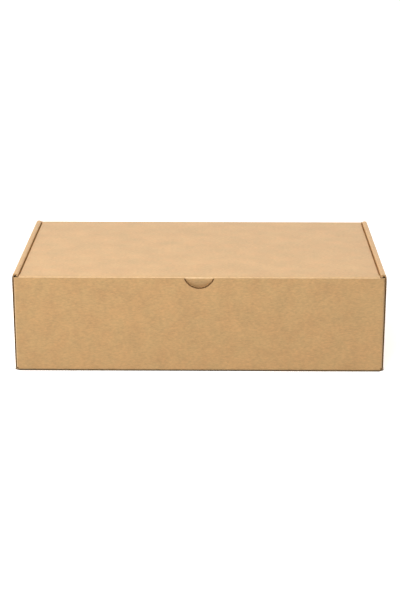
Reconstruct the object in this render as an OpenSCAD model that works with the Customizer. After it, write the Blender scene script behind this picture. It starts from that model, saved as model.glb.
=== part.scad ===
// Closed cardboard mailing box: one die-cut sheet of corrugated board, folded up without glue.
// The front face looks towards -Y, the hinged side of the lid is at +Y, and the box stands on z = 0.
// The sheet is split at one crease only, where the lid turns on the back wall.

/* [Box] */
// Length of the front wall between its two side folds
wall_l = 350; // [200:1:450]
// Depth of the box from its front face to its back face
box_w = 220; // [170:1:300]
// Height of the front wall's top edge above the ground
wall_h = 92; // [60:1:140]

/* [Board] */
// Thickness of the corrugated board
board = 1.5; // [1.2:0.1:1.8]
// Radius inside every crease
crease_r = 0.5; // [0.3:0.1:0.8]
// Gap between the layers of a double side wall
layer_gap = 0.1; // [0.1:0.05:0.3]

/* [Side walls] */
// Height of the rolled side edges above the top of the lid
roll_rise = 2; // [1:0.1:3]
// Distance from the front or back face to the ends of the rolled edges
roll_setback = 5; // [3.5:0.5:8]
// Distance from the front or back face to the cut edges of the outer side walls
edge_setback = 1; // [0.5:0.1:2]
// Gap between an inner side wall and the front wall, the back wall or the bottom
inner_gap = 0.6; // [0.3:0.1:1.5]

/* [Locking tabs] */
// Length of each tab under an inner side wall
tab_l = 38; // [20:1:44]
// Distance from the front or back face to the nearest end of a tab
tab_inset = 36; // [15:1:40]
// Gap all round a tab in its slot in the bottom
slot_gap = 0.4; // [0.2:0.1:0.6]
// Height of a tab's end above the ground
tab_lift = 0.2; // [0.1:0.1:0.5]

/* [Wings] */
// Length of the wings that the front and back walls turn into the side walls
wing_l = 66; // [30:1:80]
// Height that a wing's top edge lies below the front wall's top edge
wing_drop = 1.5; // [0.5:0.1:6]
// Height of a wing's lower edge above the bottom panel
wing_lift = 1.5; // [1:0.1:5]
// Size of the slanted corners at a wing's free end
wing_cut = 12; // [4:1:20]

/* [Lid] */
// Height of the lid's top above the front wall's top edge
lid_rise = 0.5; // [0:0.1:2]
// Gap on each side between the lid and the rolled side walls
lid_gap = 1.2; // [0.5:0.1:2]
// Gap between the tuck flap's fold and the front wall
flap_gap = 0.3; // [0.3:0.1:1]
// Depth of the tuck flap behind the front wall
flap_h = 40; // [25:1:48]
// Room left between the tuck flap's end and the front wall as the lid swings
flap_spare = 0.3; // [0.2:0.1:2]
// Radius of the tuck flap's free corners
flap_corner_r = 20; // [5:1:22]
// Depth of the ears at the sides of the lid
ear_h = 36; // [20:1:48]
// Distance from the lid's front and back folds to the ends of the ears
ear_setback = 6; // [3:0.5:20]
// Radius of the ears' free corners
ear_corner_r = 17; // [5:1:17]
// Gap left between the lid and the back wall at the hinge crease
hinge_gap = 0.3; // [0.3:0.05:0.6]
// Distance of the hinge axis outside the rounded crease
hinge_out = 0.35; // [0.3:0.05:0.8]

/* [Thumb notch] */
// Width of the half-moon notch at the front wall's top edge
notch_w = 29; // [20:1:40]
// Depth of the half-moon notch
notch_h = 10.5; // [6:0.5:14]

/* [Hidden] */
$fn = 64;
kraft = [0.81, 0.65, 0.45];
// Length by which a cutter stands out of the board on each side
cut_past = 0.5;

// Outer radius of every fold, and the places of the box's outer faces
fold_r = crease_r + board;
half_l = wall_l / 2;
half_w = box_w / 2;
lid_top = wall_h + lid_rise;
roll_top = lid_top + roll_rise;

// The double side wall from inside to outside, with a wing between its two layers
inner_x = half_l - 2 * board - layer_gap;
outer_x = half_l + layer_gap + board;
roll_w = outer_x - inner_x;
roll_r = min(fold_r, roll_w / 2);
roll_run = box_w - 2 * roll_setback;
outer_run = box_w - 2 * edge_setback;
inner_run = box_w - 2 * (board + inner_gap);
tab_y = half_w - tab_inset - tab_l / 2;

// The front and back walls
wall_end_x = half_l - fold_r;
base_end_x = half_l - crease_r;
wing_z = board + wing_lift;
wing_top = wall_h - wing_drop;
back_h = lid_top - fold_r;

// The lid
lid_x = inner_x - lid_gap;
lid_edge_x = lid_x - crease_r;
lid_front_y = board + flap_gap + fold_r - half_w;
lid_back_y = half_w - fold_r;
ear_run = lid_back_y - lid_front_y - 2 * ear_setback;
ear_mid_y = (lid_back_y + lid_front_y) / 2;

// The hinge axis lies on the diagonal of the back fold, just outside it
mitre = 45;
hinge_y = lid_back_y + (fold_r + hinge_out) * cos(mitre);
hinge_z = back_h + (fold_r + hinge_out) * sin(mitre);

// The tuck flap leans inwards by flap_in, so that its end passes the front wall on its arc
swing_r = hinge_y + half_w - board - flap_gap;
flap_below = flap_h - lid_top + hinge_z;
flap_in = swing_r - sqrt(pow(swing_r, 2) - pow(flap_below, 2)) + flap_spare;

// The thumb notch is one arc through its two ends and its lowest point
notch_r = (pow(notch_w / 2, 2) + pow(notch_h, 2)) / (2 * notch_h);
notch_z = wall_h - notch_h + notch_r;

// Cross-section of a fold between two angles, centred on the fold's own centre
module bend(from, to, outer_r = fold_r) {
    reach = 2 * outer_r;
    middle = (from + to) / 2;
    intersection() {
        difference() {
            circle(outer_r);
            circle(outer_r - board);
        }
        polygon([
            [0, 0],
            reach * [cos(from), sin(from)],
            reach * [cos(middle), sin(middle)],
            reach * [cos(to), sin(to)]
        ]);
    }
}

// Outline that hangs below y = 0, with both lower corners rounded
module hanging_flap(width, drop, corner_r) {
    intersection() {
        translate([-width / 2, -drop])
            square([width, drop]);
        union() {
            translate([-width / 2, corner_r - drop])
                square([width, drop - corner_r]);
            translate([corner_r - width / 2, -drop])
                square([width - 2 * corner_r, corner_r]);
            for (side = [-1, 1])
                translate([side * (width / 2 - corner_r), corner_r - drop])
                    circle(corner_r);
        }
    }
}

// Extrudes an outline drawn in Y and Z along X, centred
module along_x(length) {
    rotate([90, 0, 90])
        linear_extrude(length, center = true)
            children();
}

// Extrudes an outline drawn in X and Z along Y, centred
module along_y(length) {
    rotate([90, 0, 0])
        linear_extrude(length, center = true)
            children();
}

module both_sides() {
    children();
    mirror([1, 0, 0])
        children();
}

// Slit that parts the lid's half of the hinge crease from the back wall's half
module hinge_slit() {
    rotate(mitre)
        translate([0, -hinge_gap / 2])
            square([2 * fold_r, hinge_gap]);
}

// Bottom panel with the slots for the locking tabs
module bottom_panel() {
    side_x = outer_x - fold_r;
    slot_w = board + 2 * slot_gap;
    slot_l = tab_l + 2 * slot_gap;
    difference() {
        translate([-side_x, fold_r - half_w, 0])
            cube([2 * side_x, box_w - 2 * fold_r, board]);
        for (side = [-1, 1], end = [-1, 1])
            translate([side * (inner_x + board / 2), end * tab_y, board / 2])
                cube([slot_w, slot_l, board + 2 * cut_past], center = true);
    }
}

// Right-hand double side wall: bottom fold, outer wall, rolled top, inner wall and its tabs
module side_wall() {
    fold_x = outer_x - fold_r;
    roll_z = roll_top - roll_r;
    inner_z = board + inner_gap;
    translate([fold_x, 0, fold_r])
        along_y(outer_run)
            bend(270, 360);
    translate([outer_x - board / 2, 0, fold_r])
        along_x(board)
            mirror([0, 1])
                hanging_flap(outer_run, roll_z - fold_r, roll_setback - edge_setback);
    translate([0, 0, roll_z])
        along_y(roll_run) {
            translate([outer_x - roll_r, 0])
                bend(0, 90, roll_r);
            translate([inner_x + roll_r, 0])
                bend(90, 180, roll_r);
            translate([inner_x + roll_r, roll_r - board])
                square([roll_w - 2 * roll_r, board]);
        }
    translate([inner_x + board / 2, 0, inner_z])
        along_x(board)
            mirror([0, 1])
                hanging_flap(inner_run, roll_z - inner_z, (inner_run - roll_run) / 2);
    for (end = [-1, 1])
        translate([inner_x, end * tab_y - tab_l / 2, tab_lift])
            cube([board, tab_l, inner_z - tab_lift]);
}

// Right-hand front wing between the two layers of the side wall
module wing(root_z) {
    free_y = wing_l - wing_cut;
    translate([half_l - board / 2, fold_r - half_w, 0])
        along_x(board)
            polygon([
                [0, wing_z],
                [free_y, wing_z],
                [wing_l, wing_z + wing_cut],
                [wing_l, wing_top - wing_cut],
                [free_y, wing_top],
                [roll_setback, wing_top],
                [0, root_z]
            ]);
}

// A wall at the front, up to its top edge, with its bottom fold, corner folds and wings
module end_wall(top_z) {
    translate([-base_end_x, -half_w, fold_r])
        cube([2 * base_end_x, board, wing_z - fold_r]);
    translate([-wall_end_x, -half_w, wing_z])
        cube([2 * wall_end_x, board, top_z - wing_z]);
    translate([0, fold_r - half_w, fold_r])
        along_x(2 * base_end_x)
            bend(180, 270);
    both_sides() {
        translate([wall_end_x, fold_r - half_w, wing_z])
            linear_extrude(top_z - wing_z)
                bend(270, 360);
        wing(top_z);
    }
}

// Front wall with the thumb notch in the middle of its top edge
module front_wall() {
    difference() {
        end_wall(wall_h);
        translate([0, board / 2 - half_w, notch_z])
            rotate([90, 0, 0])
                cylinder(r = notch_r, h = board + 2 * cut_past, center = true);
    }
}

// Back wall with its half of the hinge crease
module back_wall() {
    mirror([0, 1, 0])
        end_wall(back_h);
    translate([0, lid_back_y, back_h])
        along_x(2 * lid_edge_x)
            difference() {
                bend(0, mitre);
                hinge_slit();
            }
}

// Everything but the lid: bottom, front and back walls with wings, and double side walls
module tray() {
    color(kraft) {
        bottom_panel();
        front_wall();
        back_wall();
        both_sides()
            side_wall();
    }
}

// Lid panel, with plain cut edges in front of the ears and behind them
module lid_panel() {
    panel_x = lid_x - fold_r;
    panel_w = lid_back_y - lid_front_y;
    translate([-panel_x, lid_front_y, lid_top - board])
        cube([2 * panel_x, panel_w, board]);
    both_sides()
        for (y = [lid_front_y, lid_back_y - ear_setback])
            translate([panel_x, y, lid_top - board])
                cube([fold_r - crease_r, ear_setback, board]);
}

// Tuck flap at the front of the lid: its fold, and the flap that leans inwards below it
module tuck_flap() {
    drop = flap_h - fold_r;
    translate([0, lid_front_y, lid_top - fold_r]) {
        along_x(2 * lid_edge_x)
            bend(90, 180);
        intersection() {
            along_x(2 * lid_edge_x)
                polygon([
                    [-fold_r, 0],
                    [-crease_r, 0],
                    [flap_in - crease_r, -drop],
                    [flap_in - fold_r, -drop]
                ]);
            along_y(2 * (flap_in + fold_r))
                hanging_flap(2 * lid_edge_x, drop, flap_corner_r);
        }
    }
}

// Right-hand ear at the side of the lid, with its fold
module ear() {
    translate([0, ear_mid_y, lid_top - fold_r]) {
        translate([lid_x - fold_r, 0, 0])
            along_y(ear_run)
                bend(0, 90);
        translate([lid_x - board / 2, 0, 0])
            along_x(board)
                hanging_flap(ear_run, ear_h - fold_r, ear_corner_r);
    }
}

// The lid's half of the hinge crease
module lid_hinge_fold() {
    translate([0, lid_back_y, back_h])
        along_x(2 * lid_edge_x)
            difference() {
                bend(mitre, 90);
                hinge_slit();
            }
}

// Lid with its tuck flap, two ears and half of the hinge crease
module lid() {
    color(kraft) {
        lid_panel();
        tuck_flap();
        both_sides()
            ear();
        lid_hinge_fold();
    }
}

tray();
lid();
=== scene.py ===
"""Closed mailing box of kraft corrugated board, modelled around the packed part."""

import math

import bmesh
import bpy
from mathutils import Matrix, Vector


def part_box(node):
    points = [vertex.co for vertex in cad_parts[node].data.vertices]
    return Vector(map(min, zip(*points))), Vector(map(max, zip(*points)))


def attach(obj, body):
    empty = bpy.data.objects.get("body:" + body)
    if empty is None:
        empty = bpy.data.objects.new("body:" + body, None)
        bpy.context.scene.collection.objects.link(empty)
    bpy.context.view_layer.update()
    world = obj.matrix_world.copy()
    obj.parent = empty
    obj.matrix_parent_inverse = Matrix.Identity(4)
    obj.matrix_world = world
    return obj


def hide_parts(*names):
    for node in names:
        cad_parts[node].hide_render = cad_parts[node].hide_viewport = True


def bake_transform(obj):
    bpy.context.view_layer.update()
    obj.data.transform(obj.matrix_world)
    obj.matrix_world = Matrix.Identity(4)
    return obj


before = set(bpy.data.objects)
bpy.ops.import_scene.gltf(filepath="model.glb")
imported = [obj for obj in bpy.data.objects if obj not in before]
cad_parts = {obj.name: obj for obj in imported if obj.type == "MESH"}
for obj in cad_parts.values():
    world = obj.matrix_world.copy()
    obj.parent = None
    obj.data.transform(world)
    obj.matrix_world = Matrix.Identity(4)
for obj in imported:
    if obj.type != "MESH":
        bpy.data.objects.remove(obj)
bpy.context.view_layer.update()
TRAY_LOW, TRAY_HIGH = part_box("tray")
LID_LOW, LID_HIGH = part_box("lid")

bl_info = {
    "name": "Kraft mailing box",
    "version": (1, 0, 0),
    "blender": (4, 5, 0),
    "location": "View3D > Sidebar > Mailing Box",
    "description": "Builds a folded corrugated mailing box with its lid, crease and studio",
    "category": "Object",
}

MM = 0.001
# Places of the two papers in a sheet's list of materials
LINER = 0
CUT_EDGE = 1
# Distance within which points of a sheet are merged, and within which a place counts as met
MERGE = 0.01 * MM
SLACK = 0.02 * MM
# Greatest angle between two faces, in degrees, across which a piece is shaded smooth
SMOOTH_ANGLE = 30
# Angles on the back fold, in degrees, between which the crease strip joins the wall and the lid
CREASE_START = 15
CREASE_END = 75
# Share of a face's normal along one axis above which the face counts as flat
FLAT = 0.965
# The same share in the middle of a fold, from which on the liner is fully paler, as rubbed liner
# and painted highlight
FOLD_MIDDLE = 0.78
# Steps in a fold or a round corner of the sheet
FOLD_STEPS = 8
# Steps in the short ends of the back fold that belong to the wall and to the lid
STUB_STEPS = 2
# Steps in which the hinge crease is bent through its arc
CREASE_STEPS = 20
# Rows of faces in the front and back walls, the side walls, the wings and the lid's flaps
WALL_ROWS = 12
SIDE_ROWS = 14
WING_ROWS = 4
FLAP_ROWS = 4
# Bays into which the lid is divided between the two ends of its ears
LID_BAYS = 8
# Points in one wave of the fluting, and depth to which its crests are sunk in the liners
WAVE_STEPS = 8
GLUE_LAP = 0.02 * MM
# Steps in a round corner of the waved paper
CORNER_STEPS = 12
# Distance by which the fluting lies behind the liners' cut edges
RECESS = 0.12 * MM
# Sides of the round cutter for the thumb notch
NOTCH_SIDES = 128
# Distance by which the inner layers stand out past the outer liner in the thumb notch
NOTCH_STEP = 1.3 * MM
# Depth of the notch's cut through the outer liner alone, in thicknesses of that liner
LINER_CUT = 1.1
# Height of the locking tabs' ends above the floor
TAB_CLEAR = 0.2 * MM
# Side of the studio's floor, in metres
FLOOR_SIZE = 8
# Light that the floor adds beside the box where it is seen, straight or in a gloss, so that it
# is white where no shadow falls
FLOOR_LIFT = 0.6
# Longer side of the camera's film, in millimetres
FILM_SIDE = 36


class BoardSizes(bpy.types.PropertyGroup):
    """Sizes of the corrugated board and its folds"""

    board: bpy.props.FloatProperty(
        name="Board thickness",
        description="Thickness of the board from liner to liner",
        default=1.5 * MM,
        unit="LENGTH",
    )
    crease: bpy.props.FloatProperty(
        name="Crease radius",
        description="Radius inside the folds that have no radius of their own here",
        default=0.5 * MM,
        unit="LENGTH",
    )
    tight: bpy.props.FloatProperty(
        name="Tight crease radius",
        description="Radius inside the folds beside the lid, which are pressed hard",
        default=0.05 * MM,
        unit="LENGTH",
    )
    crushed: bpy.props.FloatProperty(
        name="Crushed edge",
        description="Height of the front wall's top edge that the die has pressed flat",
        default=0.8 * MM,
        unit="LENGTH",
    )
    liner: bpy.props.FloatProperty(
        name="Liner thickness",
        description="Thickness of each flat outer paper",
        default=0.24 * MM,
        unit="LENGTH",
    )
    medium: bpy.props.FloatProperty(
        name="Fluting thickness",
        description="Thickness of the waved paper between the liners",
        default=0.18 * MM,
        unit="LENGTH",
    )
    pitch: bpy.props.FloatProperty(
        name="Flute pitch",
        description="Distance from one flute to the next",
        default=3.2 * MM,
        unit="LENGTH",
    )
    lean: bpy.props.FloatProperty(
        name="Side wall lean",
        description="Distance by which a side wall's foot lies inside its top",
        default=0.7 * MM,
        unit="LENGTH",
    )


class WallSizes(bpy.types.PropertyGroup):
    """Sizes of the walls, their edges and what is cut in them"""

    wall_h: bpy.props.FloatProperty(
        name="Wall height",
        description="Height of the front wall's top edge above the floor",
        default=92 * MM,
        unit="LENGTH",
    )
    wall_end: bpy.props.FloatProperty(
        name="Corner fold",
        description="Distance from the middle to the centre of a corner fold",
        default=173 * MM,
        unit="LENGTH",
    )
    edge_setback: bpy.props.FloatProperty(
        name="Side wall setback",
        description="Distance from the front face to a side wall's cut edge",
        default=1 * MM,
        unit="LENGTH",
    )
    roll_setback: bpy.props.FloatProperty(
        name="Roll setback",
        description="Distance from the front face to the end of a rolled edge",
        default=5 * MM,
        unit="LENGTH",
    )
    inner_gap: bpy.props.FloatProperty(
        name="Inner wall gap",
        description="Gap between an inner side wall and the front wall or the bottom",
        default=0.6 * MM,
        unit="LENGTH",
    )
    side_crease: bpy.props.FloatProperty(
        name="Side crease",
        description="Inner radius of the crease along the foot of the outer side walls",
        default=0.95 * MM,
        unit="LENGTH",
    )
    inner_x: bpy.props.FloatProperty(
        name="Inner wall place",
        description="Distance from the middle to an inner side wall's inner face",
        default=171.5 * MM,
        unit="LENGTH",
    )
    tab_length: bpy.props.FloatProperty(
        name="Tab length",
        description="Length of each locking tab under an inner side wall",
        default=38 * MM,
        unit="LENGTH",
    )
    tab_place: bpy.props.FloatProperty(
        name="Tab place",
        description="Distance from the middle of the depth to the middle of a tab",
        default=55 * MM,
        unit="LENGTH",
    )
    slot_gap: bpy.props.FloatProperty(
        name="Slot gap",
        description="Gap all round a tab in its slot",
        default=0.4 * MM,
        unit="LENGTH",
    )
    wing_length: bpy.props.FloatProperty(
        name="Wing length",
        description="Length of the wings that turn into the side walls",
        default=66 * MM,
        unit="LENGTH",
    )
    wing_cut: bpy.props.FloatProperty(
        name="Wing corner",
        description="Size of the slanted corners at a wing's free end",
        default=12 * MM,
        unit="LENGTH",
    )
    shoulder: bpy.props.FloatProperty(
        name="Shoulder height",
        description="Height of the back wall's corners above the start of the lid's crease",
        default=1.8 * MM,
        unit="LENGTH",
    )
    shoulder_gap: bpy.props.FloatProperty(
        name="Shoulder gap",
        description="Gap between the lid's side and a corner of the back wall",
        default=0.05 * MM,
        unit="LENGTH",
    )
    notch_width: bpy.props.FloatProperty(
        name="Notch width",
        description="Width of the half-moon thumb notch at the top edge",
        default=29 * MM,
        unit="LENGTH",
    )
    notch_depth: bpy.props.FloatProperty(
        name="Notch depth",
        description="Depth of the half-moon thumb notch",
        default=10.5 * MM,
        unit="LENGTH",
    )


class LidSizes(bpy.types.PropertyGroup):
    """Sizes of the lid's flap and ears"""

    front_fold: bpy.props.FloatProperty(
        name="Front fold place",
        description="Distance from the middle of the depth to the centre of the lid's front fold",
        default=106.2 * MM,
        unit="LENGTH",
    )
    edge: bpy.props.FloatProperty(
        name="Side edge",
        description="Distance from the ears' outer faces to the lid's cut side edges",
        default=0.1 * MM,
        unit="LENGTH",
    )
    flap_in: bpy.props.FloatProperty(
        name="Flap lean",
        description="Distance by which the tuck flap's end lies behind its fold",
        default=3.94 * MM,
        unit="LENGTH",
    )
    bow: bpy.props.FloatProperty(
        name="Flap bow height",
        description="Height of the tuck flap's upper part, which leans in the most",
        default=12 * MM,
        unit="LENGTH",
    )
    bow_in: bpy.props.FloatProperty(
        name="Flap bow lean",
        description="Distance by which the upper part of the tuck flap leans in",
        default=3 * MM,
        unit="LENGTH",
    )
    flap_corner: bpy.props.FloatProperty(
        name="Flap corner",
        description="Radius of the tuck flap's free corners",
        default=20 * MM,
        unit="LENGTH",
    )
    ear_setback: bpy.props.FloatProperty(
        name="Ear setback",
        description="Distance from the lid's front and back folds to an ear's end",
        default=6 * MM,
        unit="LENGTH",
    )
    ear_depth: bpy.props.FloatProperty(
        name="Ear depth",
        description="Depth of an ear below the lid's top",
        default=36 * MM,
        unit="LENGTH",
    )
    ear_corner: bpy.props.FloatProperty(
        name="Ear corner",
        description="Radius of an ear's free corners",
        default=17 * MM,
        unit="LENGTH",
    )


class Colours(bpy.types.PropertyGroup):
    """Colours of the papers and of the studio, as sRGB hex values"""

    liner: bpy.props.StringProperty(
        name="Liner",
        description="Colour of the flat kraft paper",
        default="#CDA36E",
    )
    cut: bpy.props.StringProperty(
        name="Cut edge",
        description="Colour of the liners' raw cut edges",
        default="#CBA373",
    )
    # Paler liner along the folds: partly rubbed liner, partly a painted highlight
    rubbed_and_highlit: bpy.props.StringProperty(
        name="Rubbed liner",
        description="Colour of the liner where it is rubbed along the folds",
        default="#F0CFA0",
    )
    # The paper's own brown, made darker as painted shade inside the flutes
    fluting: bpy.props.StringProperty(
        name="Fluting",
        description="Colour of the waved paper between the liners",
        default="#7A5833",
    )
    floor: bpy.props.StringProperty(
        name="Floor",
        description="Colour of the studio's floor",
        default="#EDEAE6",
    )
    floor_bounce: bpy.props.StringProperty(
        name="Floor bounce",
        description="Colour of the light that the floor throws back on the box",
        default="#9C9C9C",
    )
    # Painted shadow: dark colour laid on the floor along the box's foot
    painted_contact_shadow: bpy.props.StringProperty(
        name="Contact line",
        description="Colour of the floor just beside the box",
        default="#3C3020",
    )


class StudioSizes(bpy.types.PropertyGroup):
    """Camera, lamps and even light of the studio"""

    focal_length: bpy.props.FloatProperty(
        name="Focal length",
        description="Focal length of the camera in millimetres, on a 36 mm long side",
        default=96.42,
    )
    camera_place: bpy.props.FloatVectorProperty(
        name="Camera place",
        description="Place of the camera in front of the box",
        default=(17.44 * MM, -1563.95 * MM, 507.35 * MM),
        unit="LENGTH",
    )
    camera_yaw: bpy.props.FloatProperty(
        name="Camera turn",
        description="Angle that the camera is turned to the right",
        default=-0.01145,
        unit="ROTATION",
    )
    camera_pitch: bpy.props.FloatProperty(
        name="Camera tilt",
        description="Angle that the camera looks down",
        default=0.29176,
        unit="ROTATION",
    )
    ambient: bpy.props.FloatProperty(
        name="Ambient light",
        description="Strength of the even light from all round",
        default=0.28,
    )
    lamp_place: bpy.props.FloatVectorProperty(
        name="Lamp place",
        description="Place of the soft lamp, above the front of the box and left of it",
        default=(-0.45, -1.1, 1.25),
        unit="LENGTH",
    )
    lamp_size: bpy.props.FloatProperty(
        name="Lamp size",
        description="Side of the soft lamp's square face",
        default=0.9,
        unit="LENGTH",
    )
    lamp_watts: bpy.props.FloatProperty(
        name="Lamp power",
        description="Power of the soft lamp, in watts",
        default=26,
    )
    fill_place: bpy.props.FloatVectorProperty(
        name="Fill lamp place",
        description="Place of the fill lamp behind the box on its right, with its twin on the left",
        default=(1.2, 0.85, 0.5),
        unit="LENGTH",
    )
    fill_size: bpy.props.FloatProperty(
        name="Fill lamp size",
        description="Side of each fill lamp's square face",
        default=0.8,
        unit="LENGTH",
    )
    fill_watts: bpy.props.FloatProperty(
        name="Fill lamp power",
        description="Power of each fill lamp, in watts",
        default=12,
    )


def sizes(name):
    """One of the panel's groups of settings"""
    return getattr(bpy.context.scene, name)


def linear(hex_colour):
    """Turns an sRGB hex colour to linear red, green, blue and alpha"""
    channels = [int(hex_colour[i : i + 2], 16) / 255 for i in (1, 3, 5)]
    return [c / 12.92 if c <= 0.04045 else ((c + 0.055) / 1.055) ** 2.4 for c in channels] + [1]


def select_only(*pieces):
    """Selects these pieces alone and makes the first one active"""
    bpy.ops.object.select_all(action="DESELECT")
    for piece in pieces:
        piece.select_set(True)
    bpy.context.view_layer.objects.active = pieces[0]


def flat_panel(name, low, high, height=0):
    """Adds a flat rectangle between two corners at one height"""
    bpy.ops.object.select_all(action="DESELECT")
    middle = ((low[0] + high[0]) / 2, (low[1] + high[1]) / 2, height)
    bpy.ops.mesh.primitive_plane_add(size=1, location=middle)
    panel = bpy.context.object
    panel.name = name
    panel.data.name = name
    panel.scale = (high[0] - low[0], high[1] - low[1], 1)
    bpy.ops.object.transform_apply(location=True, rotation=True, scale=True)
    return panel


def start_sheet(name, low, high, height):
    """Adds a flat sheet with its two papers, and leaves it in edit mode"""
    sheet = flat_panel(name, low, high, height)
    for paper in ("kraft_liner_matt", "kraft_cut_edge"):
        sheet.data.materials.append(bpy.data.materials[paper])
    bpy.ops.object.mode_set(mode="EDIT")
    return sheet


def pick_parts(sheet, kind, test):
    """Selects the edges or faces that pass a test of the whole part"""
    bpy.ops.mesh.select_mode(type=kind)
    bpy.ops.mesh.select_all(action="DESELECT")
    mesh = bmesh.from_edit_mesh(sheet.data)
    for part in mesh.edges if kind == "EDGE" else mesh.faces:
        if test(part):
            part.select_set(True)
    bmesh.update_edit_mesh(sheet.data)


def pick(sheet, test, kind="EDGE"):
    """Selects the edges or faces whose corners all pass a test of their place"""
    pick_parts(sheet, kind, lambda part: all(test(v.co) for v in part.verts))


def rim(sheet, test):
    """Selects the open edges whose corners all pass a test of their place"""

    def passes(edge):
        return edge.is_boundary and all(test(v.co) for v in edge.verts)

    pick_parts(sheet, "EDGE", passes)


def score(sheet, point, normal, test=lambda co: True):
    """Adds a line of points where a plane crosses the faces that pass a test"""
    pick(sheet, test, "FACE")
    bpy.ops.mesh.bisect(plane_co=point, plane_no=normal)


def fold(centre, axis, degrees, steps=FOLD_STEPS):
    """Bends the picked edge on round an axis"""
    bpy.ops.mesh.spin(steps=steps, angle=math.radians(-degrees), center=centre, axis=axis)


def extend(move, rows=1):
    """Draws the picked edge on along a straight line, in equal rows"""
    step = Vector(move) / rows
    for _ in range(rows):
        bpy.ops.mesh.extrude_edges_move(TRANSFORM_OT_translate={"value": step})


def spread(axis, factor, middle=(0, 0, 0)):
    """Widens or narrows the picked edge along X, Y or Z"""
    value = [1, 1, 1]
    value["XYZ".index(axis)] = factor
    bpy.ops.transform.resize(value=value, center_override=middle)


def round_off(move, axis, half_width, radius, middle=(0, 0, 0), opening=False):
    """Draws the picked edge on by one radius, as its two ends follow a quarter circle

    The edge narrows to a round outer corner, or widens in a round inner one when opening.
    """
    before_depth = 0
    before_half = half_width - radius if opening else half_width
    for step in range(1, FOLD_STEPS + 1):
        turn = math.radians(90 * step / FOLD_STEPS)
        depth = radius * (1 - math.cos(turn)) if opening else radius * math.sin(turn)
        inset = radius * (1 - math.sin(turn)) if opening else radius * (1 - math.cos(turn))
        extend(Vector(move) * (depth - before_depth) / radius)
        half = half_width - inset
        spread(axis, half / before_half, middle)
        before_depth = depth
        before_half = half


def add_modifier(piece, kind, **settings):
    """Adds a modifier with its settings and applies it"""
    bpy.context.view_layer.objects.active = piece
    modifier = piece.modifiers.new(kind.title(), kind)
    for key, value in settings.items():
        setattr(modifier, key, value)
    bpy.ops.object.modifier_apply(modifier=modifier.name)


def close_sheet(sheet, outwards):
    """Leaves edit mode with every face of the sheet looking outwards"""
    bpy.ops.mesh.select_all(action="SELECT")
    bpy.ops.mesh.remove_doubles(threshold=MERGE)
    bpy.ops.mesh.normals_make_consistent(inside=False)
    mesh = bmesh.from_edit_mesh(sheet.data)
    widest = max(mesh.faces, key=lambda face: face.calc_area())
    if widest.normal.dot(Vector(outwards)) < 0:
        bpy.ops.mesh.flip_normals()
    bpy.ops.object.mode_set(mode="OBJECT")


def copy_of(piece, name):
    """A copy with its own mesh"""
    select_only(piece)
    bpy.ops.object.duplicate(linked=False)
    twin = bpy.context.object
    twin.name = name
    twin.data.name = name
    return twin


def join(pieces, name):
    """Joins pieces into the first one and names it"""
    select_only(*pieces)
    bpy.ops.object.join()
    pieces[0].name = name
    pieces[0].data.name = name
    return pieces[0]


def remove(piece):
    """Deletes a piece"""
    select_only(piece)
    bpy.ops.object.delete()


def squareness(face):
    """Greatest share of a face's normal along one axis, about 1 on a panel and less in a fold"""
    return max(abs(c) for c in face.normal)


def laminate(sheet, name):
    """Turns the middle sheet into the board's two liners with a core between them"""
    board = sizes("board_sizes")
    outer = copy_of(sheet, name)
    inner = copy_of(sheet, name + "_inner")
    offset = board.board / board.liner - 1
    for layer, side in ((outer, 1), (inner, -1)):
        add_modifier(
            layer,
            "SOLIDIFY",
            thickness=board.liner,
            offset=side * offset,
            use_even_offset=True,
            material_offset_rim=CUT_EDGE,
        )
    return join([outer, inner], name)


def mirror_half(piece):
    """Completes a right-hand half with its mirror image"""
    add_modifier(piece, "MIRROR", use_axis=(True, False, False), merge_threshold=MERGE)


def crushed_folds(sheet, name, pressed):
    """Core of the folds and of the pressed faces, where the flutes are flat and fill the board"""
    board = sizes("board_sizes")
    core = copy_of(sheet, name)

    def has_flutes(face):
        return squareness(face) > FLAT and not pressed(face.calc_center_median())

    bpy.ops.object.mode_set(mode="EDIT")
    pick_parts(core, "FACE", has_flutes)
    bpy.ops.mesh.delete(type="FACE")
    bpy.ops.object.mode_set(mode="OBJECT")
    thickness = board.board - 2 * board.liner
    add_modifier(core, "SOLIDIFY", thickness=thickness, offset=0, use_even_offset=True)
    core.data.polygons.foreach_set("material_index", [CUT_EDGE] * len(core.data.polygons))
    return core


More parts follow.
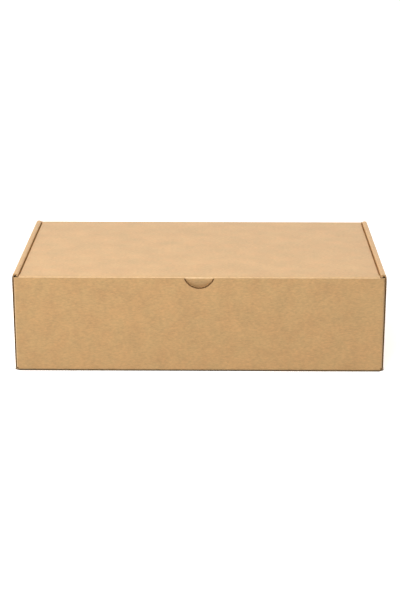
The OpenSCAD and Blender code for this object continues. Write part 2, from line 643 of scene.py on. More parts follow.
def fluting(name, low, high, radius=0, is_round=None):
    """Waved paper in the XY plane with flutes along Y, cut to a panel with round corners"""
    board = sizes("board_sizes")
    # One wave, drawn on over the panel's width
    left = low[0] - board.pitch / 2
    bpy.ops.object.select_all(action="DESELECT")
    bpy.ops.mesh.primitive_grid_add(
        x_subdivisions=WAVE_STEPS,
        y_subdivisions=1,
        size=1,
        location=(left + board.pitch / 2, (low[1] + high[1]) / 2, 0),
    )
    wave = bpy.context.object
    wave.name = name
    wave.data.name = name
    wave.scale = (board.pitch, high[1] - low[1] + board.pitch, 1)
    bpy.ops.object.transform_apply(location=True, rotation=True, scale=True)
    bpy.ops.object.mode_set(mode="EDIT")
    height = (board.board - 2 * board.liner - board.medium) / 2 + GLUE_LAP
    for step in range(WAVE_STEPS + 1):
        line = left + board.pitch * step / WAVE_STEPS
        pick(wave, lambda co: abs(co.x - line) < board.pitch / 4 / WAVE_STEPS)
        lift = height * math.sin(2 * math.pi * step / WAVE_STEPS)
        bpy.ops.transform.translate(value=(0, 0, lift))
    bpy.ops.object.mode_set(mode="OBJECT")
    count = math.ceil((high[0] - low[0]) / board.pitch) + 1
    add_modifier(
        wave,
        "ARRAY",
        count=count,
        relative_offset_displace=(1, 0, 0),
        use_merge_vertices=True,
        merge_threshold=MERGE,
    )
    add_modifier(wave, "SOLIDIFY", thickness=board.medium, offset=0, use_even_offset=True)
    wave.data.materials.append(bpy.data.materials["fluting_paper_waved"])

    # Block in the shape of the panel, outside which the waves are cut away
    panel = flat_panel("fluting_cutter", low, high)
    if is_round:
        bpy.ops.object.mode_set(mode="EDIT")
        pick(panel, is_round)
        bpy.ops.mesh.bevel(offset=radius, segments=CORNER_STEPS, affect="VERTICES")
        bpy.ops.object.mode_set(mode="OBJECT")
    add_modifier(panel, "SOLIDIFY", thickness=2 * board.board, offset=0)
    add_modifier(wave, "BOOLEAN", object=panel, operation="INTERSECT", solver="EXACT")
    remove(panel)
    return wave


def place(piece, rotation, location):
    """Turns a piece about the origin and moves it, and applies both to its mesh"""
    select_only(piece)
    piece.rotation_euler = rotation
    piece.location = location
    bpy.ops.object.transform_apply(location=True, rotation=True, scale=True)
    return piece


def thumb_notch(pieces, depth, margin):
    """Cuts the half-moon notch out of the front wall, to a depth and smaller by a margin"""
    walls = sizes("wall_sizes")
    half = walls.notch_width / 2
    radius = (half**2 + walls.notch_depth**2) / (2 * walls.notch_depth)
    centre_z = walls.wall_h - walls.notch_depth + radius
    bpy.ops.object.select_all(action="DESELECT")
    bpy.ops.mesh.primitive_cylinder_add(
        vertices=NOTCH_SIDES,
        radius=radius - margin,
        depth=2 * depth,
        location=(0, TRAY_LOW.y, centre_z),
        rotation=(math.pi / 2, 0, 0),
    )
    cutter = bpy.context.object
    for piece in pieces:
        add_modifier(piece, "BOOLEAN", object=cutter, operation="DIFFERENCE", solver="EXACT")
    remove(cutter)


def mark_folds(piece, where):
    """Notes at each point how far the liner turns into a fold, from 0 on a panel to 1"""
    mesh = piece.data
    wear_and_highlight = [1.0] * len(mesh.vertices)
    for face in mesh.polygons:
        turned = min(1, (1 - squareness(face)) / (1 - FOLD_MIDDLE))
        if face.material_index == LINER:
            for point in face.vertices:
                wear_and_highlight[point] = min(wear_and_highlight[point], turned if where(face.center) else 0)
    mesh.attributes.new("fold_wear_and_highlight", "FLOAT", "POINT")
    mesh.attributes["fold_wear_and_highlight"].data.foreach_set("value", wear_and_highlight)


def finish_piece(piece, body, node=None):
    """Smooths the folds, and hands the piece to its body of the part"""
    select_only(piece)
    bpy.ops.object.shade_smooth_by_angle(angle=math.radians(SMOOTH_ANGLE))
    if node:
        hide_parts(node)
    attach(piece, body)


def tray_sheet():
    """The middle surface of the tray's right half, folded up from its bottom panel"""
    board = sizes("board_sizes")
    walls = sizes("wall_sizes")
    half = board.board / 2
    bend = board.crease + half
    fold_r = board.crease + board.board
    roll_x = TRAY_HIGH.x - fold_r
    side_r = walls.side_crease + board.board
    side_x = TRAY_HIGH.x - side_r - board.lean
    fold_y = TRAY_HIGH.y - fold_r
    wall_y = TRAY_HIGH.y - half
    inner_x = walls.inner_x + half
    slot_x = inner_x - board.lean
    slot_half = half + walls.slot_gap
    tab_half = walls.tab_length / 2
    slot_end = tab_half + walls.slot_gap
    strip_x = side_x - half / 2
    lid_edge = LID_HIGH.x - sizes("lid_sizes").edge

    # Bottom panel, scored where the walls change and cut open for the tabs
    sheet = start_sheet("tray_sheet", (0, -fold_y), (side_x, fold_y), half)
    shoulder_x = LID_HIGH.x + walls.shoulder_gap
    slot_sides = (slot_x - slot_half, slot_x + slot_half)
    for x in (walls.wall_end, strip_x, lid_edge, shoulder_x, *slot_sides):
        score(sheet, (x, 0, 0), (1, 0, 0))
    for y in (1, -1):
        for end in (tab_half, -tab_half, slot_end, -slot_end):
            score(sheet, (0, y * walls.tab_place + end, 0), (0, 1, 0))

    def in_slot(co):
        across = abs(co.x - slot_x) < slot_half + SLACK
        along = abs(abs(co.y) - walls.tab_place) < slot_end + SLACK
        return across and along and co.z < board.board

    pick(sheet, in_slot, "FACE")
    bpy.ops.mesh.delete(type="FACE")

    # Front and back walls
    wing_z = board.board * 2
    wing_top = walls.wall_h - board.board
    wall_tops = {-1: walls.wall_h, 1: LID_HIGH.z - fold_r}
    for end, top in wall_tops.items():
        rim(sheet, lambda co: co.y * end > fold_y - SLACK and co.x < strip_x + SLACK)
        fold((0, end * fold_y, fold_r), (1, 0, 0), -90 if end < 0 else 90)
        extend((0, 0, wing_z - fold_r))
        rim(
            sheet,
            lambda co: co.y * end > wall_y - SLACK
            and co.z > wing_z - SLACK
            and co.x < walls.wall_end + SLACK,
        )
        extend((0, 0, top - board.crushed - wing_z), rows=WALL_ROWS)
        extend((0, 0, board.crushed))

    # Wings that turn in along the side walls and lean with them
    for end, top in wall_tops.items():
        rim(
            sheet,
            lambda co: co.y * end > wall_y - SLACK
            and abs(co.x - walls.wall_end) < SLACK
            and co.z > wing_z - SLACK,
        )
        fold((walls.wall_end, end * fold_y, 0), (0, 0, 1), 90 if end < 0 else -90)
        root = walls.roll_setback
        extend((0, -end * root, 0))
        if end < 0:
            spread("Z", (wing_top - wing_z) / (top - wing_z), (0, 0, wing_z))
        extend((0, -end * (walls.wing_length - walls.wing_cut - root), 0), rows=WING_ROWS)
        extend((0, -end * walls.wing_cut, 0))
        wing_half = (wing_top - wing_z) / 2
        wing_middle = (0, 0, wing_z + wing_half)
        spread("Z", (wing_half - walls.wing_cut) / wing_half, wing_middle)
        pick(
            sheet,
            lambda co: co.x > walls.wall_end + board.crease
            and 0 < co.y * end < fold_y - SLACK
            and co.z > wing_z - SLACK,
        )
        lean_angle = -math.atan(board.lean / wing_top)
        bpy.ops.transform.rotate(
            value=lean_angle,
            orient_axis="Y",
            center_override=(walls.wall_end + bend, 0, wing_top),
        )

    # Outer side wall, rolled edge and inner side wall
    outer_half = TRAY_HIGH.y - walls.edge_setback
    roll_half = TRAY_HIGH.y - walls.roll_setback
    roll_z = TRAY_HIGH.z - fold_r
    corner = outer_half - roll_half
    rim(sheet, lambda co: abs(co.x - side_x) < SLACK and co.z < board.board)
    fold((side_x, 0, side_r), (0, 1, 0), -90)
    spread("Y", outer_half / fold_y)
    straight = roll_z - corner - side_r
    extend((board.lean, 0, straight), rows=SIDE_ROWS)
    round_off((0, 0, corner), "Y", outer_half, corner)
    fold((roll_x, 0, roll_z), (0, 1, 0), -90)
    tight_bend = board.tight + half
    roll_in = inner_x + tight_bend
    extend((roll_in - roll_x, 0, 0))
    roll_z += bend - tight_bend
    fold((roll_in, 0, roll_z), (0, 1, 0), -90)
    inner_half = TRAY_HIGH.y - board.board - walls.inner_gap
    inner_corner = inner_half - roll_half
    round_off((0, 0, -inner_corner), "Y", inner_half, inner_corner, opening=True)
    inner_foot = board.board + walls.inner_gap
    extend((slot_x - inner_x, 0, inner_foot - roll_z + inner_corner), rows=SIDE_ROWS)

    # Locking tabs, under the inner wall's lowest row of faces
    row_top = inner_foot + 10 * MM

    def at_foot(co):
        return abs(co.x - slot_x) < board.lean / 2 and co.z < row_top

    for y in (1, -1):
        for end in (tab_half, -tab_half):
            score(sheet, (0, y * walls.tab_place + end, 0), (0, 1, 0), at_foot)
    for y in (1, -1):
        rim(
            sheet,
            lambda co: abs(co.x - slot_x) < SLACK
            and abs(co.z - inner_foot) < SLACK
            and abs(co.y - y * walls.tab_place) < tab_half + SLACK,
        )
        extend((0, 0, TAB_CLEAR - inner_foot))

    # Corner of the back wall beside the lid, and the start of the fold that the lid turns on
    rim(
        sheet,
        lambda co: co.y > wall_y - SLACK
        and co.z > LID_HIGH.z - fold_r - SLACK
        and shoulder_x - SLACK < co.x < walls.wall_end + SLACK,
    )
    extend((0, 0, walls.shoulder))
    rim(
        sheet,
        lambda co: co.y > wall_y - SLACK
        and co.z > LID_HIGH.z - fold_r - SLACK
        and co.x < lid_edge + SLACK,
    )
    fold((0, fold_y, LID_HIGH.z - fold_r), (1, 0, 0), CREASE_START, steps=STUB_STEPS)
    close_sheet(sheet, (0, 0, -1))
    return sheet


def lid_sheet():
    """The middle surface of the lid's right half, with its tuck flap and its ear"""
    board = sizes("board_sizes")
    lid = sizes("lid_sizes")
    half = board.board / 2
    fold_r = board.crease + board.board
    edge_x = LID_HIGH.x - lid.edge
    tight_r = board.tight + board.board
    panel_x = LID_HIGH.x - tight_r
    fold_z = LID_HIGH.z - fold_r
    back_y = TRAY_HIGH.y - fold_r
    front_y = -lid.front_fold
    ear_front = front_y + lid.ear_setback
    ear_back = back_y - lid.ear_setback

    # Lid panel, cut back at its sides to where the ears fold
    sheet = start_sheet("lid_sheet", (0, front_y), (edge_x, back_y), LID_HIGH.z - half)
    score(sheet, (panel_x, 0, 0), (1, 0, 0))
    score(sheet, (0, ear_front, 0), (0, 1, 0))
    score(sheet, (0, ear_back, 0), (0, 1, 0))
    for bay in range(1, LID_BAYS):
        bay_y = ear_front + (ear_back - ear_front) * bay / LID_BAYS
        score(sheet, (0, bay_y, 0), (0, 1, 0))

    def beside_ear(co):
        return co.x > panel_x - SLACK and ear_front - SLACK < co.y < ear_back + SLACK

    pick(sheet, beside_ear, "FACE")
    bpy.ops.mesh.delete(type="FACE")

    # Tuck flap, bowed near its fold
    rim(sheet, lambda co: co.y < front_y + SLACK)
    fold((0, front_y, fold_z), (1, 0, 0), 90)
    drop = fold_z - LID_LOW.z
    extend((0, lid.bow_in, -lid.bow), rows=FLAP_ROWS)
    straight = drop - lid.bow - lid.flap_corner
    slant = (lid.flap_in - lid.bow_in) / (drop - lid.bow)
    extend((0, slant * straight, -straight), rows=FLAP_ROWS // 2)
    radius = lid.flap_corner
    round_off((0, slant * radius, -radius), "X", edge_x, radius)

    # Ear
    ear_half = (ear_back - ear_front) / 2
    ear_middle = (0, (ear_back + ear_front) / 2, 0)
    rim(sheet, lambda co: abs(co.x - panel_x) < SLACK and beside_ear(co))
    fold((panel_x, 0, LID_HIGH.z - tight_r), (0, 1, 0), 90)
    straight = lid.ear_depth - tight_r - lid.ear_corner
    extend((0, 0, -straight), rows=FLAP_ROWS)
    round_off((0, 0, -lid.ear_corner), "Y", ear_half, lid.ear_corner, ear_middle)

    # Start of the fold that the lid turns on
    rim(sheet, lambda co: co.y > back_y - SLACK)
    fold((0, back_y, fold_z), (1, 0, 0), CREASE_END - 90, steps=STUB_STEPS)
    close_sheet(sheet, (0, 0, 1))
    return sheet


class BOX_OT_tray(bpy.types.Operator):
    """Model the tray's liners: bottom, front and back walls, and double side walls"""

    bl_idname = "mailing_box.tray"
    bl_label = "Tray"

    def execute(self, context):
        sheet = tray_sheet()
        mirror_half(sheet)
        tray = laminate(sheet, "folded_tray")
        board = sizes("board_sizes")
        top_edge = sizes("wall_sizes").wall_h - board.crushed

        def pressed(co):
            front = co.y < TRAY_LOW.y + board.board
            return co.z > LID_HIGH.z or (front and co.z > top_edge)

        core = crushed_folds(sheet, "tray_folds", pressed)
        thumb_notch([tray, core], 2 * board.board, NOTCH_STEP)
        thumb_notch([tray], LINER_CUT * board.liner, 0)
        remove(sheet)
        join([tray, core], "folded_tray")
        # The rolled edges get no paler rubbed liner or painted highlight
        roll_foot = TRAY_HIGH.z - 2 * board.board
        mark_folds(tray, lambda co: co.z < roll_foot)
        finish_piece(tray, "tray", "tray")
        return {"FINISHED"}


class BOX_OT_lid(bpy.types.Operator):
    """Model the lid's liners with its tuck flap and ears"""

    bl_idname = "mailing_box.lid"
    bl_label = "Lid"

    def execute(self, context):
        board = sizes("board_sizes")
        sheet = lid_sheet()
        mirror_half(sheet)
        lid = laminate(sheet, "folded_lid")
        panel_x = LID_HIGH.x - board.tight - board.board
        strip_z = LID_HIGH.z - board.board
        core = crushed_folds(
            sheet, "lid_folds", lambda co: abs(co.x) > panel_x and co.z > strip_z
        )
        remove(sheet)
        join([lid, core], "folded_lid")
        # The front fold gets the paler rubbed liner and painted highlight, and the folds beside the
        # lid don't
        fold_y = MM - sizes("lid_sizes").front_fold
        mark_folds(lid, lambda co: co.y < fold_y)
        finish_piece(lid, "lid", "lid")
        return {"FINISHED"}


class BOX_OT_tray_fluting(bpy.types.Operator):
    """Model the waved paper that shows at the cut edges of the front and side walls"""

    bl_idname = "mailing_box.tray_fluting"
    bl_label = "Tray fluting"

    def execute(self, context):
        board = sizes("board_sizes")
        walls = sizes("wall_sizes")
        fold_r = board.crease + board.board
        wing_z = 2 * board.board
        low = (-walls.wall_end, wing_z + board.pitch / 2)
        high = (walls.wall_end, walls.wall_h - board.crushed)
        front_wave = fluting("front_fluting", low, high)
        front_y = TRAY_LOW.y + board.board / 2
        place(front_wave, (math.pi / 2, 0, 0), (0, front_y, 0))
        thumb_notch([front_wave], 2 * board.board, NOTCH_STEP - RECESS)
        waves = [front_wave]

        roll_z = TRAY_HIGH.z - fold_r
        outer_half = TRAY_HIGH.y - walls.edge_setback
        roll_half = TRAY_HIGH.y - walls.roll_setback
        inner_half = TRAY_HIGH.y - board.board - walls.inner_gap
        inner_foot = board.board + walls.inner_gap
        side_r = walls.side_crease + board.board
        outer_x = TRAY_HIGH.x - board.board / 2
        inner_x = walls.inner_x + board.board / 2
        for side in (1, -1):
            for wall_x, foot, half in (
                (outer_x, side_r, outer_half),
                (inner_x, inner_foot, inner_half),
            ):
                wave = fluting(
                    "side_fluting",
                    (foot, RECESS - half),
                    (roll_z, half - RECESS),
                    half - roll_half,
                    lambda co: co.x > roll_z - MM,
                )
                lean = math.atan(board.lean / (roll_z - foot))
                foot_x = wall_x - board.lean - foot * math.tan(lean)
                turn = side * lean - math.pi / 2
                waves.append(place(wave, (0, turn, 0), (side * foot_x, 0, 0)))
        tray_waves = join(waves, "tray_fluting")
        finish_piece(tray_waves, "tray")
        return {"FINISHED"}


class BOX_OT_lid_fluting(bpy.types.Operator):
    """Model the waved paper that shows at the cut edges of the tuck flap and the ears"""

    bl_idname = "mailing_box.lid_fluting"
    bl_label = "Lid fluting"

    def execute(self, context):
        board = sizes("board_sizes")
        lid = sizes("lid_sizes")
        fold_r = board.crease + board.board
        fold_z = LID_HIGH.z - fold_r
        flap_x = LID_HIGH.x - lid.edge
        flap_y = -lid.front_fold - board.crease - board.board / 2
        slope = math.atan(lid.bow_in / lid.bow)
        side = flap_x - RECESS
        bow = fluting("bow_fluting", (-side, -lid.bow), (side, -MM))
        waves = [place(bow, (math.pi / 2 + slope, 0, 0), (0, flap_y, fold_z))]
        drop = fold_z - lid.bow - LID_LOW.z
        slope = math.atan((lid.flap_in - lid.bow_in) / drop)
        bottom = RECESS - drop
        flap = fluting(
            "flap_fluting",
            (-side, bottom),
            (side, 0),
            lid.flap_corner,
            lambda co: co.y < bottom + MM,
        )
        middle = (0, flap_y + lid.bow_in, fold_z - lid.bow)
        waves.append(place(flap, (math.pi / 2 + slope, 0, 0), middle))

        ear_front = lid.ear_setback - lid.front_fold
        ear_back = TRAY_HIGH.y - fold_r - lid.ear_setback
        ear_half = (ear_back - ear_front) / 2
        ear_x = LID_HIGH.x - board.board / 2
        foot = lid.ear_depth - RECESS
        for side in (1, -1):
            ear = fluting(
                "ear_fluting",
                (fold_r + MM, RECESS - ear_half),
                (foot, ear_half - RECESS),
                lid.ear_corner,
                lambda co: co.x > foot - MM,
            )
            middle = (side * ear_x, (ear_front + ear_back) / 2, LID_HIGH.z)
            waves.append(place(ear, (0, math.pi / 2, 0), middle))
        lid_waves = join(waves, "lid_fluting")
        finish_piece(lid_waves, "lid")
        return {"FINISHED"}


class BOX_OT_crease(bpy.types.Operator):
    """Model the crease that the lid turns on, as a strip that bends with it"""

    bl_idname = "mailing_box.crease"
    bl_label = "Hinge crease"

    def execute(self, context):
        board = sizes("board_sizes")
        fold_r = board.crease + board.board
        centre = Vector((0, TRAY_HIGH.y - fold_r, LID_HIGH.z - fold_r))
        edge_x = LID_HIGH.x - sizes("lid_sizes").edge
        sheet = start_sheet(
            "crease_sheet",
            (-edge_x, centre.y - MM),
            (edge_x, centre.y),
            LID_HIGH.z - board.board / 2,
        )
        rim(sheet, lambda co: co.y > centre.y - MM / 2)
        fold(centre, (1, 0, 0), CREASE_START - 90, steps=CREASE_STEPS)
        # The faces past the ends of the arc go, with a margin of less than one step
        margin = math.radians(1)
        start = math.radians(CREASE_START) - margin
        end = math.radians(CREASE_END) + margin

        def past_end(face):
            turns = [math.atan2(v.co.z - centre.z, v.co.y - centre.y) for v in face.verts]
            return not all(start < turn < end for turn in turns)

        pick_parts(sheet, "FACE", past_end)
        bpy.ops.mesh.delete(type="FACE")
        close_sheet(sheet, (0, 1, 1))
        strip = laminate(sheet, "hinge_crease")
        core = crushed_folds(sheet, "crease_fold", lambda co: True)
        remove(sheet)
        join([strip, core], "hinge_crease")
        bpy.ops.object.shade_smooth_by_angle(angle=math.radians(SMOOTH_ANGLE))
        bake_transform(strip)
        return {"FINISHED"}


def add_node(tree, kind, settings, links):
    """Adds a node, sets its properties, sockets and colour stops, and links outputs to it"""
    node = tree.nodes.new(kind)
    for key, value in settings.items():
        if key == "stops":
            for stop, (position, colour) in zip(node.color_ramp.elements, value):
                stop.position = position
                stop.color = colour
        elif isinstance(key, int) or key in node.inputs:
            node.inputs[key].default_value = value
        else:
            setattr(node, key, value)
    for socket, (source, output) in links.items():
        tree.links.new(source.outputs[output], node.inputs[socket])
    return node


def toned(colour, factor):
    """A linear colour made darker or paler by a factor"""
    return [c * factor for c in colour[:3]] + [1]


def empty_tree(owner):
    """The node tree of a new material or world, with no node in it"""
    owner.use_nodes = True
    owner.node_tree.nodes.clear()
    return owner.node_tree


def new_paper(name, roughness):
    """An empty material with its shader and output"""
    tree = empty_tree(bpy.data.materials.new(name))
    shader = add_node(tree, "ShaderNodeBsdfPrincipled", {"Roughness": roughness}, {})
    add_node(tree, "ShaderNodeOutputMaterial", {}, {"Surface": (shader, "BSDF")})
    return tree, shader


def kraft_liner():
    """Unbleached kraft paper, pressed smooth on the machine and glued over the flutes"""
    # It gives a tan surface with a low sheen, short fibres along the length of the box, soft
    # cloudy patches, a few dark flecks of bark, a trace of the flutes, and folds painted paler,
    # partly as rubbed liner and partly as a painted highlight
    board = sizes("board_sizes")
    colours = sizes("box_colours")
    tree, shader = new_paper("kraft_liner_matt", 0.43)
    coords = add_node(tree, "ShaderNodeTexCoord", {}, {})

    # Clumps of fibres are about 3 mm long and 1.2 mm wide, where a real fibre is too thin to show
    clump_long = 3 * MM
    clump_wide = 1.2 * MM
    along = add_node(
        tree,
        "ShaderNodeMapping",
        {"Scale": (1 / clump_long, 1 / clump_wide, 1 / clump_wide)},
        {"Vector": (coords, "Object")},
    )
    clumps = add_node(
        tree,
        "ShaderNodeTexNoise",
        {"Scale": 1, "Detail": 3, "Roughness": 0.6},
        {"Vector": (along, "Vector")},
    )
    # Cloudy patches of the sheet's formation, about 22 mm across
    clouds = add_node(
        tree,
        "ShaderNodeTexNoise",
        {"Scale": 1 / (22 * MM), "Detail": 2, "Roughness": 0.5},
        {"Vector": (coords, "Object")},
    )
    mixed = add_node(
        tree,
        "ShaderNodeMix",
        {"data_type": "FLOAT", "Factor": 0.33},
        {"A": (clumps, "Fac"), "B": (clouds, "Fac")},
    )
    base = linear(colours.liner)
    tone = add_node(
        tree,
        "ShaderNodeValToRGB",
        {"stops": ((0.3, toned(base, 0.82)), (0.7, toned(base, 1.16)))},
        {"Fac": (mixed, "Result")},
    )

    # The pulp is a little redder or yellower over patches about 15 mm across
    patches = add_node(
        tree,
        "ShaderNodeTexNoise",
        {"Scale": 1 / (15 * MM), "Detail": 2, "Roughness": 0.6},
        {"Vector": (coords, "Object")},
    )
    redder = (1, 0.975, 0.965, 1)
    yellower = (0.975, 1, 1, 1)
    tint = add_node(
        tree,
        "ShaderNodeValToRGB",
        {"stops": ((0.35, redder), (0.65, yellower))},
        {"Fac": (patches, "Fac")},
    )
    tinted = add_node(
        tree,
        "ShaderNodeMix",
        {"data_type": "RGBA", "blend_type": "MULTIPLY", "Factor": 1},
        {"A": (tone, "Color"), "B": (tint, "Color")},
    )

    # The liner is painted paler along the folds, clump by clump: partly stretched, rubbed liner and
    # partly a painted highlight on the folds' curve
    fold_wear_and_highlight = add_node(tree, "ShaderNodeAttribute", {"attribute_name": "fold_wear_and_highlight"}, {})
    patchy = add_node(
        tree,
        "ShaderNodeMath",
        {"operation": "MULTIPLY"},
        {0: (fold_wear_and_highlight, "Fac"), 1: (clumps, "Fac")},
    )
    rubbing_and_highlight = add_node(
        tree,
        "ShaderNodeMath",
        {"operation": "MULTIPLY", "use_clamp": True, 1: 1.6},
        {0: (patchy, "Value")},
    )
    rubbed_and_highlit = add_node(
        tree,
        "ShaderNodeMix",
        {"data_type": "RGBA", "B": linear(colours.rubbed_and_highlit)},
        {"Factor": (rubbing_and_highlight, "Value"), "A": (tinted, "Result")},
    )

    # Flecks are bark and dark fibres, up to 1 mm long, at the peaks of a pattern twice as coarse
    fleck_long = 2.2 * MM
    fleck_wide = 1.1 * MM
    fleck_place = add_node(
        tree,
        "ShaderNodeMapping",
        {"Scale": (1 / fleck_long, 1 / fleck_wide, 1 / fleck_wide)},
        {"Vector": (coords, "Object")},
    )
    flecks = add_node(
        tree,
        "ShaderNodeTexNoise",
        {"Scale": 1, "Detail": 1, "Roughness": 0.4},
        {"Vector": (fleck_place, "Vector")},
    )
    few = add_node(
        tree,
        "ShaderNodeValToRGB",
        {"stops": ((0.7, (0, 0, 0, 1)), (0.78, (0.35, 0.35, 0.35, 1)))},
        {"Fac": (flecks, "Fac")},
    )
    flecked = add_node(
        tree,
        "ShaderNodeMix",
        {"data_type": "RGBA", "B": toned(base, 0.55)},
        {"Factor": (few, "Color"), "A": (rubbed_and_highlit, "Result")},
    )

    # The flutes print through the liner, and its fibres make it a little rough. At scale 1 one
    # wave of the texture is 2 pi / 20 long.
    wave_length = math.tau / 20
    waves = add_node(
        tree,
        "ShaderNodeTexWave",
        {"bands_direction": "X", "Scale": wave_length / board.pitch, "Distortion": 0.6},
        {"Vector": (coords, "Object")},
    )
    fuzz = add_node(
        tree,
        "ShaderNodeTexNoise",
        {"Scale": 1 / (0.5 * MM), "Detail": 2},
        {"Vector": (coords, "Object")},
    )
    printed = add_node(
        tree,
        "ShaderNodeBump",
        {"Strength": 1, "Distance": 0.015 * MM},
        {"Height": (waves, "Fac")},
    )
    relief = add_node(
        tree,
        "ShaderNodeBump",
        {"Strength": 0.5, "Distance": 0.03 * MM},
        {"Height": (fuzz, "Fac"), "Normal": (printed, "Normal")},
    )
    tree.links.new(flecked.outputs["Result"], shader.inputs["Base Color"])
    tree.links.new(relief.outputs["Normal"], shader.inputs["Normal"])


def plain_paper(name, colour, darkest, grain, detail, roughness):
    """A paper with one pattern, whose tone runs from the darkest factor to the full colour"""
    tree, shader = new_paper(name, roughness)
    coords = add_node(tree, "ShaderNodeTexCoord", {}, {})
    fibres = add_node(
        tree,
        "ShaderNodeTexNoise",
        {"Scale": 1 / grain, "Detail": detail},
        {"Vector": (coords, "Object")},
    )
    base = linear(colour)
    tone = add_node(
        tree,
        "ShaderNodeValToRGB",
        {"stops": ((0.3, toned(base, darkest)), (0.7, base))},
        {"Fac": (fibres, "Fac")},
    )
    tree.links.new(tone.outputs["Color"], shader.inputs["Base Color"])


def kraft_cut_edge():
    """Raw edge of the liner paper, sheared by the die"""
    # It gives a matt, slightly darker line with loose fibres and no shine
    colour = sizes("box_colours").cut
    plain_paper("kraft_cut_edge", colour, 0.75, grain=0.7 * MM, detail=2, roughness=0.9)


def fluting_paper():
    """Recycled fluting paper, pressed into waves while damp"""
    # It gives a dull dark brown in the open ends of the flutes: the paper's own brown, made darker
    # as painted shade for the deep flutes
    colour = sizes("box_colours").fluting
    plain_paper("fluting_paper_waved", colour, 0.8, grain=1.5 * MM, detail=3, roughness=0.95)


class BOX_OT_papers(bpy.types.Operator):
    """Make the board's papers: liner, cut edge and fluting"""

    bl_idname = "mailing_box.papers"
    bl_label = "Papers"

    def execute(self, context):
        kraft_liner()
        kraft_cut_edge()
        fluting_paper()
        return {"FINISHED"}


def studio_lamp(name, location, size, watts):
    """A square lamp that faces the box and isn't seen itself"""
    bpy.ops.object.light_add(type="AREA", location=location)
    lamp = bpy.context.object
    lamp.name = name
    lamp.visible_camera = False
    lamp.data.size = size
    lamp.data.energy = watts
    aim = Vector((0, 0, TRAY_HIGH.z / 2)) - lamp.location
    lamp.rotation_euler = aim.to_track_quat("-Z", "Y").to_euler()


def background_rays(tree):
    """1 for a ray that shows the background, straight, in a gloss or through glass, else 0"""
    ray = add_node(tree, "ShaderNodeLightPath", {}, {})
    gloss = add_node(
        tree,
        "ShaderNodeMath",
        {"operation": "MAXIMUM"},
        {0: (ray, "Is Glossy Ray"), 1: (ray, "Is Transmission Ray")},
    )
    return add_node(
        tree,
        "ShaderNodeMath",
        {"operation": "MAXIMUM"},
        {0: (ray, "Is Camera Ray"), 1: (gloss, "Value")},
    )


def studio_floor():
    """Floor with a matt white paint, which shows pure white where no shadow falls"""
    bpy.ops.mesh.primitive_plane_add(size=FLOOR_SIZE, location=(0, 0, 0))
    floor = bpy.context.object
    floor.name = "studio_floor"
    # It gives a plain pale ground with a faint soft shadow, a painted contact shadow along the
    # box's foot, and no shine
    material = bpy.data.materials.new("matt_white_floor")
    tree = empty_tree(material)
    colours = sizes("box_colours")
    seen = background_rays(tree)
    # Painted contact shadow: a narrow dark line from ambient occlusion where the box meets the
    # floor, which fades out in about 3 mm
    nearness = add_node(
        tree, "ShaderNodeAmbientOcclusion", {"Distance": 3 * MM, "samples": 8}, {}
    )
    outside_contact_shadow = add_node(
        tree,
        "ShaderNodeMapRange",
        {"From Min": 0.5, "From Max": 0.9, "To Min": 0, "To Max": 1},
        {"Value": (nearness, "AO")},
    )
    shown = add_node(
        tree,
        "ShaderNodeMix",
        {"data_type": "RGBA", "A": linear(colours.painted_contact_shadow), "B": linear(colours.floor)},
        {"Factor": (outside_contact_shadow, "Result")},
    )
    # The floor throws less light back on the box than it shows where it is seen
    tone = add_node(
        tree,
        "ShaderNodeMix",
        {"data_type": "RGBA", "A": linear(colours.floor_bounce)},
        {"Factor": (seen, "Value"), "B": (shown, "Result")},
    )
    paint = add_node(tree, "ShaderNodeBsdfDiffuse", {}, {"Color": (tone, "Result")})
    coords = add_node(tree, "ShaderNodeTexCoord", {}, {})
    distance = add_node(
        tree, "ShaderNodeVectorMath", {"operation": "LENGTH"}, {0: (coords, "Object")}
    )
    # The floor adds more light from 0.5 m on and is fully white from 1.3 m, so it has no edge
    rise = add_node(
        tree,
        "ShaderNodeMapRange",
        {"From Min": 0.5, "From Max": 1.3, "To Min": FLOOR_LIFT, "To Max": 1},
        {"Value": (distance, "Value")},
    )
    seen_rise = add_node(
        tree,
        "ShaderNodeMath",
        {"operation": "MULTIPLY"},
        {0: (seen, "Value"), 1: (rise, "Result")},
    )
    # Inside the painted contact shadow the floor's added light is dimmed too
    lift = add_node(
        tree,
        "ShaderNodeMath",
        {"operation": "MULTIPLY"},
        {0: (seen_rise, "Value"), 1: (outside_contact_shadow, "Result")},
    )
    glow = add_node(tree, "ShaderNodeEmission", {}, {"Strength": (lift, "Value")})
    both = add_node(tree, "ShaderNodeAddShader", {}, {0: (paint, "BSDF"), 1: (glow, "Emission")})
    add_node(tree, "ShaderNodeOutputMaterial", {}, {"Surface": (both, "Shader")})
    floor.data.materials.append(material)


def studio_air():
    """Even light from all round, which is white where it is seen, straight or in a gloss"""
    world = bpy.data.worlds.new("studio_air")
    bpy.context.scene.world = world
    tree = empty_tree(world)
    seen = background_rays(tree)
    shown = add_node(
        tree,
        "ShaderNodeMix",
        {"data_type": "FLOAT", "A": sizes("studio_sizes").ambient, "B": 1},
        {"Factor": (seen, "Value")},
    )
    air = add_node(
        tree,
        "ShaderNodeBackground",
        {"Color": (1, 1, 1, 1)},
        {"Strength": (shown, "Result")},
    )
    add_node(tree, "ShaderNodeOutputWorld", {}, {"Surface": (air, "Background")})


def studio_camera():
    """Camera at the photograph's viewing angle"""
    studio = sizes("studio_sizes")
    bpy.ops.object.camera_add(location=studio.camera_place)
    camera = bpy.context.object
    camera.name = "studio_camera"
    camera.data.lens = studio.focal_length
    camera.data.sensor_width = FILM_SIDE
    camera.rotation_euler = (math.pi / 2 - studio.camera_pitch, 0, -studio.camera_yaw)
    bpy.context.scene.camera = camera


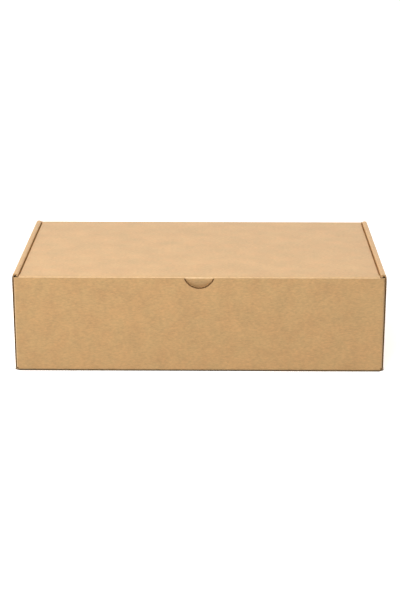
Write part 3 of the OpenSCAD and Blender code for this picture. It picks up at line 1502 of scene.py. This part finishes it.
class BOX_OT_studio(bpy.types.Operator):
    """Set up the floor, the lamps and the camera"""

    bl_idname = "mailing_box.studio"
    bl_label = "Studio"

    def execute(self, context):
        context.scene.view_settings.view_transform = "Standard"
        studio_floor()
        studio_air()
        studio = sizes("studio_sizes")
        studio_lamp("studio_lamp", studio.lamp_place, studio.lamp_size, studio.lamp_watts)
        right = Vector(studio.fill_place)
        left = Vector((-right.x, right.y, right.z))
        for name, location in (("fill_lamp_right", right), ("fill_lamp_left", left)):
            studio_lamp(name, location, studio.fill_size, studio.fill_watts)
        studio_camera()
        return {"FINISHED"}


class BOX_PT_panel(bpy.types.Panel):
    """Panel with the sizes, the colours and the steps of the model"""

    bl_idname = "BOX_PT_panel"
    bl_label = "Mailing Box"
    bl_space_type = "VIEW_3D"
    bl_region_type = "UI"
    bl_category = "Mailing Box"

    def draw(self, context):
        for group, settings in GROUPS.items():
            column = self.layout.column(heading=settings.__doc__)
            for key in settings.__annotations__:
                column.prop(getattr(context.scene, group), key)
        for step in STEPS:
            self.layout.operator(step.bl_idname)


GROUPS = {
    "board_sizes": BoardSizes,
    "wall_sizes": WallSizes,
    "lid_sizes": LidSizes,
    "box_colours": Colours,
    "studio_sizes": StudioSizes,
}
STEPS = (
    BOX_OT_papers,
    BOX_OT_tray,
    BOX_OT_tray_fluting,
    BOX_OT_lid,
    BOX_OT_lid_fluting,
    BOX_OT_crease,
    BOX_OT_studio,
)


def register():
    """Adds the classes and the groups of settings"""
    for settings in GROUPS.values():
        bpy.utils.register_class(settings)
    for step in STEPS:
        bpy.utils.register_class(step)
    bpy.utils.register_class(BOX_PT_panel)
    for group, settings in GROUPS.items():
        setattr(bpy.types.Scene, group, bpy.props.PointerProperty(type=settings))


def unregister():
    """Takes the groups of settings and the classes out again"""
    for group in GROUPS:
        delattr(bpy.types.Scene, group)
    bpy.utils.unregister_class(BOX_PT_panel)
    for step in reversed(STEPS):
        bpy.utils.unregister_class(step)
    for settings in GROUPS.values():
        bpy.utils.unregister_class(settings)


def main():
    """Builds the box and its studio, and writes the sizes of the packed part and the model"""
    register()
    bpy.ops.mailing_box.papers()
    bpy.ops.mailing_box.tray()
    bpy.ops.mailing_box.tray_fluting()
    bpy.ops.mailing_box.lid()
    bpy.ops.mailing_box.lid_fluting()
    bpy.ops.mailing_box.crease()
    bpy.ops.mailing_box.studio()


if __name__ == "__main__":
    main()
